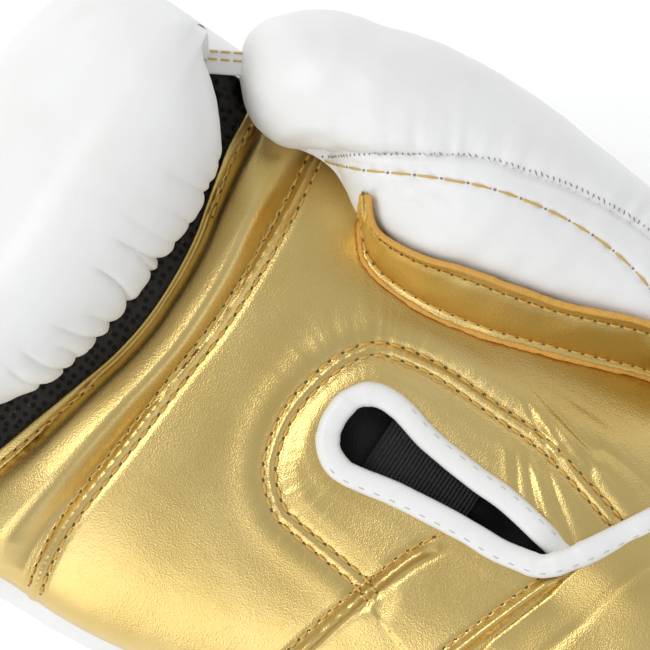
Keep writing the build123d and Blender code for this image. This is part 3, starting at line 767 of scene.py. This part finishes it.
def thumb():
    """The padded thumb, one closed form cut into outer panel, welt and inner panel."""
    around = 260
    y = np.concatenate([-50 + 6 * (1 - np.cos(np.linspace(0, math.pi / 2, 12, endpoint=False))),
                        np.linspace(-44, 78, 180, endpoint=False),
                        78 + 9.58 * np.sin(np.linspace(0, math.pi / 2, 38))])
    cx, cz, rx, rz = table(THUMB, y)
    tip_start, root_end = 66, -40                # y past which the thumb rounds off to its ends
    tip = np.clip(1 - ((y - tip_start) / 21.6) ** 2, 1e-4, 1) ** 0.6
    root = np.sqrt(np.clip(1 - ((y - root_end) / 10.0) ** 2, 1e-4, 1))
    ends = np.where(y > tip_start, tip, np.where(y < root_end, root, 1.0))
    rx, rz = rx * ends, rz * ends
    a = np.linspace(0, 2 * math.pi, around, endpoint=False)
    c, s = squarish(np.cos(a), 0.92), squarish(np.sin(a), 0.92)
    p = np.stack([cx[:, None] + rx[:, None] * c, np.broadcast_to(y[:, None], (len(y), around)),
                  cz[:, None] + rz[:, None] * s], -1)
    n = normals(p)
    n *= np.sign(n[..., 0] * c + n[..., 2] * s)[..., None]
    up = p[..., 2] > cz[:, None]
    plan = p[..., :2].reshape(-1, 2)
    grey, along, side = (q.reshape(up.shape) for q in near(plan, THUMB_GREY_LINE))
    gold, along_gold, _ = (q.reshape(up.shape) for q in near(plan, THUMB_GOLD_LINE))
    inner = (grey * side < 0) if side[100, 0] > 0 else (grey * side > 0)
    outer_side = ~inner
    lift = -1.5 * bell(grey, 1.5) - 1.2 * bell(grey, 5) * inner - 0.6 * bell(gold, 1.0)
    lift += np.where(outer_side, 1.3 * smooth((grey - 1) / 7), 0)
    lift += np.where(inner & (gold > 1), 0.4 * smooth((gold - 1) / 6), 0)
    # the grey seam, drawn tight by hand, pulls short gathers into the outer panel
    pucker = noise(along / 2.0, grey / 30, 61) + 0.7 * noise(along / 4.4, grey / 30, 62)
    lift += np.where(outer_side, 0.55 * pucker * np.exp(-grey / 5.0), 0.15 * pucker * np.exp(-grey / 2.0))
    lift -= 0.3 * bell(((along_gold + SEAM_PITCH / 2) % SEAM_PITCH) - SEAM_PITCH / 2, 0.7) * bell(gold, 1.3)
    p += n * np.where(up, lift, 0)[..., None]
    u, v, w = np.moveaxis(p, -1, 0)
    soft = 0.5 * noise(u / 16, v / 16 + w / 20, 63)
    soft += 0.22 * noise(u / 6, v / 5 + w / 8, 64)
    # a dent and soft creases low on the inner panel, near the web
    dent = bell(u - 66, 9) * bell(v - 36, 13) * up * inner
    soft -= 1.6 * dent
    soft += 0.35 * dent * noise(u / 1.8 + v / 6, v / 3.2, 65)
    soft += 0.5 * up * outer_side * bell(v - 58, 14) * noise(u / 2.2, v / 12, 66) * np.exp(-grey / 12)
    p += n * soft[..., None]
    verts, faces = p.reshape(-1, 3), grid(len(y), around, loop_cols=True)
    skin.add("thumb", verts, faces)
    inner_f, up_f = inner.reshape(-1)[faces].mean(1) > 0.5, up.reshape(-1)[faces].mean(1) > 0.5
    mid = verts[faces].mean(1)[:, :2]
    # 0 outer, 1 welt, 2 inner; the tip is all of the outer panel
    palm_ward = near(np.array([[60.0, 20.0]]), THUMB_GOLD_LINE)[2][0]
    past_gold = near(mid, THUMB_GOLD_LINE)[2] == palm_ward
    left, tip_y = mid[:, 0] < np.interp(mid[:, 1], y, cx) - 2, 62
    kind = np.where(up_f & ~inner_f, 0, np.where(up_f & inner_f & ~past_gold & (mid[:, 1] < tip_y), 1, 2))
    kind = np.where((~up_f & ~left) | (mid[:, 1] > tip_y), 0, kind)
    for k, (name, stands) in enumerate((
            ("thumb_outer_skin", ("thumb_outer_panel", "thumb_foam", "thumb_lining")),
            ("thumb_welt_skin", ("thumb_welt",)),
            ("thumb_inner_skin", ("thumb_inner_panel",)))):
        obj = make(name, *compact(verts, faces[kind == k]), WHITE)
        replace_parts(obj, *stands)


def thumb_gusset():
    """Gold strip with raw edges, from the palm up on to the flank of the thumb."""
    rows, across, clear = 170, 26, 0.9
    low, high = evenly(spline(GUSSET_LOW, 0.7), rows), evenly(spline(GUSSET_HIGH, 0.7), rows)
    f = np.linspace(0, 1, across)
    p = np.zeros((rows, across, 3))
    for i in range(rows):
        a = skin.at("palm", *low[i])
        b = skin.at("thumb", *(high[i] + [1.6, 0.3]))
        za = a[0][2] if a else 66.0
        zb = b[0][2] if b else 74.0
        xy = low[i] + (high[i] - low[i]) * f[:, None]
        rise = smooth(f) * 0.55 + f**2 * 0.45
        z = za + 1.1 + (zb + 1.0 - za) * rise
        p[i] = np.column_stack([xy, z])
        for j in range(across):
            for name in ("palm", "thumb"):
                hit = skin.at(name, *xy[j])
                if hit:
                    p[i, j, 2] = max(p[i, j, 2], hit[0][2] + clear)
    # smooth across and along, keeping the ends
    for _ in range(6):
        z = p[..., 2]
        z[1:-1, 1:-1] = (z[:-2, 1:-1] + z[2:, 1:-1] + z[1:-1, :-2] + z[1:-1, 2:] + 2 * z[1:-1, 1:-1]) / 6
    n = up_normals(p)
    s = np.arange(rows)[:, None] * 0.55
    seam = bell((f[None] - 0.16) * 14, 1.0) + bell((f[None] - 0.86) * 14, 1.0)
    relief = -0.35 * seam + 0.9 * bell((f[None] - 0.5), 0.28) + 0.25 * noise(s / 7, f[None] * 3 + s * 0, 71)
    p += n * relief[..., None]
    strip = make("thumb_gusset_skin", p.reshape(-1, 3), grid(rows, across), GOLD)
    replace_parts(strip, "thumb_gusset")
    # cut leather edges left raw, slightly frayed
    for name, col in (("gusset_raw_edge_palm", 0), ("gusset_raw_edge_thumb", across - 1)):
        line = p[:, col] + n[:, col] * (-0.35)
        line[:, 2] += 0.12 * noise(np.arange(rows) / 2.0, np.zeros(rows), 72)
        w = 0.68 + 0.2 * noise(np.arange(rows) / 2.5, np.zeros(rows), 73)
        make(name, *tube(line, n[:, col], w, 0.75, around=10, squareness=0.7), RAW)
    for name, col in (("low", 4), ("high", -5)):
        stitches(f"gusset_stitches_{name}", p[:, col], n[:, col], GOLD_THREAD, HOLE_SHADE, pitch=3.4, length=2.6)


def tether():
    """Folded strap that ties the thumb tip to the finger section."""
    line = spline([(60.0, 101.0, 72.5), (63.0, 95.8, 73.0), (65.5, 91.3, 73.6), (68.2, 86.5, 74.4),
                   (71.5, 80.6, 75.5)], 0.5)
    up = np.repeat(np.array([[0.0, 0.10, 0.995]]), len(line), 0)
    band = make("thumb_tether_strap", *tube(line, up, 3.0, 0.9, around=16, squareness=0.45), WHITE)
    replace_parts(band, "thumb_tether")
    for k, side in enumerate((2.35, 0.45)):
        row = line + np.array([0.87, 0.49, 0]) * side + up * 0.86
        stitches(f"tether_stitches_{k}", row, up, GOLD_THREAD, None, pitch=3.2, length=2.5, radius=0.24)


# -------------------- wrist slit
def slit_binding():
    """Rolled white binding round the slit. Its little finger arm crosses the other and follows the strap."""
    line = spline(SLIT, 0.6)
    centre = offset(line, 2.9)
    if inside(centre[::20], SLIT_LINE).any():
        centre = offset(line, -2.9)
    thumb_arm = np.argmax(centre[:, 1])
    # thumb side arm from the foot to the round end, then down the other side
    back = (centre[0] - centre[4]) / np.linalg.norm(centre[0] - centre[4])
    foot = centre[0] + back * np.linspace(5, 0.6, 8)[:, None]
    under = np.vstack([foot, centre[:thumb_arm + 1]])
    over = centre[thumb_arm:]
    tail = spline([tuple(over[-6]), (9.2, -39.0), (13.0, -42.8), (19.2, -46.9), (27.0, -51.4), (33.0, -54.8),
                   (38.0, -57.6)], 0.6)
    over = np.vstack([over[:-6], tail])
    full = np.vstack([under, over[1:]])
    p, _ = skin.lay("palm", full)
    p[:, 2] = np.convolve(np.pad(p[:, 2], 6, mode="edge"), np.ones(13) / 13, "valid")
    up = np.repeat(np.array([[0.0, 0.0, 1.0]]), len(p), 0)
    s = lengths_along(p)
    arm_end = s[np.argmax(p[:, 1])]
    p[:, 2] += 0.6 + 2.2 * smooth((s - s[-1] + 44) / 16) - 2.2 * smooth((11 - s) / 8)
    p[:, 2] -= 2.4 * smooth((s - s[-1] + 4.5) / 4.5)
    pucker = 0.22 * noise(s / 1.9, s * 0, 81) * bell(s - arm_end, 17)
    pucker += 0.25 * noise(s / 2.2, s * 0, 82) * bell(s - s[-1] + 30, 7)
    pucker += 0.06 * noise(s / 5, s * 0, 83)
    verts, faces = tube(p, up, 2.95 + pucker, 2.1 + pucker, around=22, squareness=0.82)
    skin.add("binding", verts, [f for f in faces if len(f) == 4])
    obj = make("slit_binding_roll", verts, faces, WHITE)
    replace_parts(obj, "slit_binding")
    for k, (start, stop) in enumerate(((6, arm_end - 14), (arm_end + 12, s[-1] - 4))):
        keep = (s > start) & (s < stop)
        row = p[keep, :2]
        away = offset(row, 1.75)
        if near(away[::9], SLIT_LINE)[0].mean() < near(row[::9], SLIT_LINE)[0].mean():
            away = offset(row, -1.75)
        laid, up = skin.lay("binding", away)
        if len(laid) > 20:
            stitches(f"binding_stitches_{k}", laid, up, WHITE_THREAD, None, pitch=4.2, length=2.0,
                     radius=0.17, hold=-0.04)


def slit_inside():
    """Wide elastic across the slit, with the dark lining of the hand compartment round it."""
    x, y = np.meshgrid(np.linspace(-12, 36, 60), np.linspace(-18.5, 8.8, 50))
    z = 66.0 - 0.004 * (x - 12) ** 2 + 0.15 * noise(x / 4, y / 8, 91)
    web = sheet("slit_elastic_web", x, y, z, ELASTIC_WEB)
    web.modifiers.new("thick", "SOLIDIFY").thickness = 1.2 * MM
    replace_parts(web, "slit_elastic")
    x, y = np.meshgrid(np.linspace(-20, 44, 40), np.linspace(-50, 34, 50))
    z = 60.5 + 1.2 * noise(x / 12, y / 10, 92)
    sheet("slit_backing", x, y, z, LINING)


# -------------------- cuff and strap
def cuff_point(turn, y, grow):
    """Points of the cuff's oval section, turn 0 at the thumb side and 90 degrees on the palm side."""
    half, middle, height = table(CUFF, y)
    x = CUFF_X + (half + grow) * squarish(np.cos(turn), CUFF_BEND)
    z = middle + (height + grow) * squarish(np.sin(turn), CUFF_BEND)
    return np.stack([x, y + 0 * x, z], -1)


def turn_at(x, grow=0.0, top=True):
    """Turn at which the cuff's section reaches a given x."""
    a = np.linspace(0, math.pi, 4000) if top else np.linspace(0, -math.pi, 4000)
    xs = CUFF_X + (CUFF[1, 1] + grow) * squarish(np.cos(a), CUFF_BEND)
    return float(np.interp(x, xs[::-1], a[::-1]))


def even_turns(a, b, count, grow=0.0):
    """Turns from a to b spaced evenly along the section."""
    t = np.linspace(a, b, 3000)
    run = lengths_along(cuff_point(t, -80.0, grow))
    return np.interp(np.linspace(0, run[-1], count), run, t)


def off_cuff(points):
    """Unit directions from the cuff's axis out to points."""
    out = points - CUFF_AXIS
    out[..., 1] = 0
    return out / np.linalg.norm(out, axis=-1)[..., None]


def cuff_normals(p):
    """Normals of a grid round the cuff, all turned outwards."""
    n = normals(p)
    return n * np.sign(np.sum(n * off_cuff(p), -1))[..., None]


def sheet_on_cuff(name, turns, ys, grow, material, wobble=0.3, seed=0, thick=0.0, body="glove"):
    """A sheet round the cuff, uneven by wobble, and closed to a slab where it has a thickness."""
    t, y = np.meshgrid(turns, ys)
    p = cuff_point(t, y, grow)
    n = cuff_normals(p)
    p += n * (wobble * noise(t * 7, y / 9, seed) + wobble * 0.4 * noise(t * 22, y / 3, seed + 1))[..., None]
    verts, faces = p.reshape(-1, 3), grid(*t.shape)
    if thick:
        verts = np.vstack([verts, (p - n * thick).reshape(-1, 3)])
        rows, cols = t.shape
        faces = faces.tolist() + (faces[:, ::-1] + rows * cols).tolist()
        ring = (list(range(cols)) + [i * cols + cols - 1 for i in range(1, rows)]
                + [(rows - 1) * cols + j for j in range(cols - 2, -1, -1)]
                + [i * cols for i in range(rows - 2, 0, -1)])
        for a, b in zip(ring, ring[1:] + ring[:1]):
            faces.append([a, a + rows * cols, b + rows * cols, b])
    return make(name, verts, faces, material, body=body)


def cuff():
    """The cuff's two gold flaps, its white back, lining and rolled mouth, and its pipings."""
    hand_end, mouth = -45.5, -139.5
    ys = np.linspace(hand_end, mouth, 110)
    slit = turn_at(12.0)
    flap_thumb = sheet_on_cuff("cuff_flap_thumb_skin", even_turns(0.0, slit, 90), ys, 0.0, GOLD, 0.4, 101)
    flap_little = sheet_on_cuff("cuff_flap_little_skin", even_turns(slit + 0.01, math.pi, 90), ys, 0.2, GOLD,
                                0.4, 103)
    back = sheet_on_cuff("cuff_back_skin", even_turns(math.pi, 2 * math.pi, 160), ys, 0.1, WHITE, 0.4, 105)
    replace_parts(flap_thumb, "cuff_flap_thumb_side")
    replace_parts(flap_little, "cuff_flap_little_finger_side")
    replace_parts(back, "cuff_back_panel", "cuff_foam")
    inner = sheet_on_cuff("cuff_lining_cloth", even_turns(0, 2 * math.pi, 160), np.linspace(-50, mouth, 70),
                          -12.5, LINING, 0.8, 107)
    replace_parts(inner, "cuff_lining")
    # mouth: padded white edge rolled over the foam
    turns = even_turns(0, 2 * math.pi, 240)[:-1]
    a = np.linspace(-0.15, math.pi + 0.15, 16)
    p = np.stack([cuff_point(turns, -136.2 - 5.2 * math.sin(k), -6.4 + 7.0 * math.cos(k)) for k in a])
    p += 0.25 * noise(turns * 18, turns * 0, 109)[None, :, None]
    rim = make("cuff_edge_roll", p.reshape(-1, 3), grid(len(a), len(turns), loop_cols=True), WHITE)
    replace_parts(rim, "cuff_edge_binding")
    row = cuff_point(turns, -132.0, 0.9)
    stitches("cuff_edge_stitches", row, off_cuff(row), WHITE_THREAD, None, pitch=4.0)
    welt = cuff_point(even_turns(math.pi * 0.97, math.pi * 2.08, 200), -44.9, 0.9)
    make("wrist_welt", *tube(welt, off_cuff(welt), 1.7, 1.5, around=14), WHITE)
    for name, side in (("cuff_side_piping_thumb", 0.0), ("cuff_side_piping_little", math.pi)):
        line = cuff_point(side, np.linspace(-46, -134, 80), 0.4)
        up = np.repeat(np.array([[1.0 if side == 0 else -1.0, 0, 0]]), 80, 0)
        make(name, *tube(line, up, 1.5, 1.3), GOLD)


def strap_edge(x):
    """Distal edge of the strap in plan: the sewn end, then the bound edge that slants over the slit."""
    return np.interp(x, [-60, -44, -30, -18, -10, -2.5, 5, 9, 14, 22, 30, 40, 60],
                     [-47, -46, -43, -38, -39.2, -41.9, -44.6, -45.2, -46.6, -50.4, -54.0, -58.6, -60])


def strap_piece(turns, grow, top):
    """Points and normals of the strap's outer face between two turns; top is the part over the slit."""
    cols, rows = len(turns), 70
    xs = cuff_point(turns, -80.0, 0)[:, 0]
    far = np.where(np.sin(turns) > 0, strap_edge(xs), STRAP_FAR) if top else np.full(cols, STRAP_FAR)
    t = np.broadcast_to(turns, (rows, cols))
    f = np.linspace(0, 1, rows)[:, None]
    y = STRAP_LOW + (far[None] - STRAP_LOW) * f
    p = cuff_point(t, y, grow)
    n = cuff_normals(p)
    if top:                          # the sewn end lies lower, down to the cuff's roll
        p -= n * (3.8 * (smooth((f - 0.5) / 0.5) * smooth((20 - xs[None]) / 18)))[..., None]
    across = (f - 0.5) * 54          # a sewn groove 19 mm to each side of the middle
    groove = 0.3 * bell(across + 19, 0.8) + 0.3 * bell(across - 19, 0.8)
    p += n * (0.25 * noise(t * 8, y / 10, 111) - groove)[..., None]
    return p, n


def strap():
    """The strap in two sheets, with its bindings and its two tapes."""
    over, thick, split = STRAP_OVER, 2.6, -0.02
    # name, first and last turn, height over the cuff, bodies, x where the fold starts and ends, nodes, top
    pieces = (("strap_root_skin", turn_at(-46.0, over), split, 5.6, "glove", "strap_side", (9.0, 21.0),
               ("strap_anchor", "strap_anchor_binding"), True),
              ("strap_tail_skin", split + 0.03, turn_at(-16.0, over, False), 5.75, "strap_side", "strap_tip",
               (47.0, 36.0), ("strap_side", "strap_side_binding", "strap_tip", "strap_tip_binding"), False))
    for name, a, b, grow, body_a, body_b, fold, stands, top in pieces:
        p, n = strap_piece(even_turns(a, b, 150, over), grow, top)
        rows, cols = p.shape[:2]
        count = rows * cols
        verts = np.vstack([p.reshape(-1, 3), (p - n * thick).reshape(-1, 3)])
        faces = grid(rows, cols).tolist() + (grid(rows, cols)[:, ::-1] + count).tolist()
        for j in range(cols - 1):
            faces.append([j, j + 1, j + 1 + count, j + count])
            k = (rows - 1) * cols + j
            faces.append([k + 1, k, k + count, k + 1 + count])
        for i in range(rows - 1):
            k = i * cols
            faces.append([k + cols, k, k + count, k + cols + count])
            k = i * cols + cols - 1
            faces.append([k, k + cols, k + cols + count, k + count])
        leather = make(name, verts, faces, GOLD, ride=False)
        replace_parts(leather, *stands)
        edges = {"low": (p[0], n[0]), "high": (p[-1], n[-1])}
        if top:                      # up to x = 27 this edge lies under the cuff's roll or the slit's binding
            keep = p[-1][:, 0] - n[-1][:, 0] * thick / 2 > 27
            edges["high"] = (p[-1][keep], n[-1][keep])
        else:
            edges["end"] = (p[:, -1], n[:, -1])
        objs = [leather]
        for edge, (line, up) in edges.items():
            verts, faces = tube(line - up * 1.3, up, 2.4, 2.1, around=14, squareness=0.7)
            objs.append(make(f"{name}_binding_{edge}", verts, faces, WHITE, ride=False))
        for obj in objs:
            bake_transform(obj)
    hook_turns = even_turns(turn_at(24.0, 3, False), turn_at(-12.0, 3, False), 40)
    hooks = sheet_on_cuff("hook_tape_pile", hook_turns, np.linspace(-67, -107, 30), 2.5, HOOKS, 0.0, 0, 0.9,
                          "strap_tip")
    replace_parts(hooks, "hook_tape")
    loop_turns = even_turns(turn_at(36.0, 1, False), turn_at(-34.0, 1, False), 60)
    loops = sheet_on_cuff("loop_tape_pile", loop_turns, np.linspace(-64, -110, 30), 1.3, LOOP, 0.1, 113, 0.9)
    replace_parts(loops, "loop_tape")


# -------------------- seams
def seams():
    """Topstitching of the palm side, and the two seams of the thumb."""
    for name, line in (("grip_seam_upper", GRIP_LINE), ("grip_seam_lower", GRIP_LINE_LOW),
                       ("horseshoe_outer", HORSESHOE_LINE), ("horseshoe_inner", HORSESHOE_IN)):
        sew(name, "palm", line[np.abs(line[:, 0]) < 64], GOLD_THREAD, HOLE_SHADE)
    rim = offset(GOLD_EDGE_LINE, -2.2)
    for name, low, high in (("index", 34, 64), ("little", -64, -13)):
        keep = (rim[:, 0] > low) & (rim[:, 0] < high)
        sew(f"rim_stitches_{name}", "palm", rim[keep], GOLD_THREAD, HOLE_SHADE, pitch=3.6, length=2.7)
    for name, line in (("wrist_roll_stitches", WRIST_ROLL_LINE), ("cuff_roll_stitches", CUFF_ROLL_LINE)):
        sew(name, "palm", offset(line, -2.3), GOLD_THREAD, HOLE_SHADE, pitch=3.6, length=2.7)
    sew("thumb_gold_stitches", "thumb", THUMB_GOLD_LINE, GOLD_THREAD, GREY_HOLE_SHADE, pitch=6.6, length=6.1,
        radius=0.27)
    # grey seam: close hand stitches across the join
    laid, up = skin.lay("thumb", THUMB_GREY_LINE)
    p, n = resample(laid, up, 1.5)
    verts, faces = [], []
    for k in range(1, len(p) - 1):
        t = p[k + 1] - p[k - 1]
        t /= np.linalg.norm(t)
        w = np.cross(n[k], t)
        reach, lean = 0.35 + 0.4 * hash01(k, 1, 5), 0.6 * hash01(k, 2, 5)
        a, b = p[k] - w * reach + t * lean, p[k] + w * reach - t * lean
        path = np.array([a - n[k] * 0.1, (a + b) / 2 + n[k] * 0.22, b - n[k] * 0.1])
        v, f = tube(path, np.repeat(n[k][None], 3, 0), 0.17, 0.14, around=5)
        faces += [[i + len(verts) for i in q] for q in f]
        verts += v.tolist()
    make("thumb_grey_stitches", verts, faces, GREY_THREAD)


# -------------------- light, floor and camera
def studio():
    """Pale floor, soft box lamps and a camera from straight above the palm."""
    world = bpy.data.worlds.new("studio")
    bpy.context.scene.world = world
    world.use_nodes = True
    sky = world.node_tree.nodes["Background"].inputs
    sky["Color"].default_value, sky["Strength"].default_value = (0.95, 0.975, 1.0, 1), 0.62
    pale = shader("pale_floor", (0.93, 0.93, 0.93), 0.9, Emission_Color=(1, 1, 1, 1), Emission_Strength=0.24)
    far, level = 3000.0, -0.2
    floor = make("floor", [(-far, -far, level), (far, -far, level), (far, far, level), (-far, far, level)],
                 [(0, 1, 2, 3)], pale, ride=False)
    middle = Vector((0.028, 0.035, 0.07))
    for name, place, energy, w, h in (
            ("key", (-1.0, 0.10, 0.68), 3.2, 0.5, 1.3),
            ("fill", (1.1, 0.2, 0.6), 0.8, 0.8, 0.8),
            ("front", (-0.1, 0.95, 1.15), 6.5, 1.0, 0.5),
            ("back", (0.1, -0.9, 0.5), 0.8, 1.0, 0.5)):
        lamp = bpy.data.lights.new(name, "AREA")
        lamp.shape, lamp.size, lamp.size_y, lamp.energy = "RECTANGLE", w, h, energy
        obj = bpy.data.objects.new(name, lamp)
        obj.location = place
        obj.rotation_euler = (middle - Vector(place)).to_track_quat("-Z", "Y").to_euler()
        bpy.context.scene.collection.objects.link(obj)
    cam = bpy.data.cameras.new("camera")
    cam.sensor_width = 36.0
    distance, covers = 1.6, 0.1548       # metres, the second at the height of the palm
    cam.lens = cam.sensor_width * (distance - middle.z) / covers
    obj = bpy.data.objects.new("camera", cam)
    obj.location = (middle.x, middle.y, distance)
    right, up = Vector((0.559, -0.829, 0)), Vector((0.829, 0.559, 0))
    back = right.cross(up)
    obj.rotation_euler = Matrix((right, up, back)).transposed().to_euler()
    bpy.context.scene.collection.objects.link(obj)
    bpy.context.scene.camera = obj
    bpy.context.scene.view_settings.view_transform = "Standard"


palm_side()
shell()
crook()
thumb()
thumb_gusset()
tether()
slit_binding()
slit_inside()
cuff()
strap()
seams()
studio()
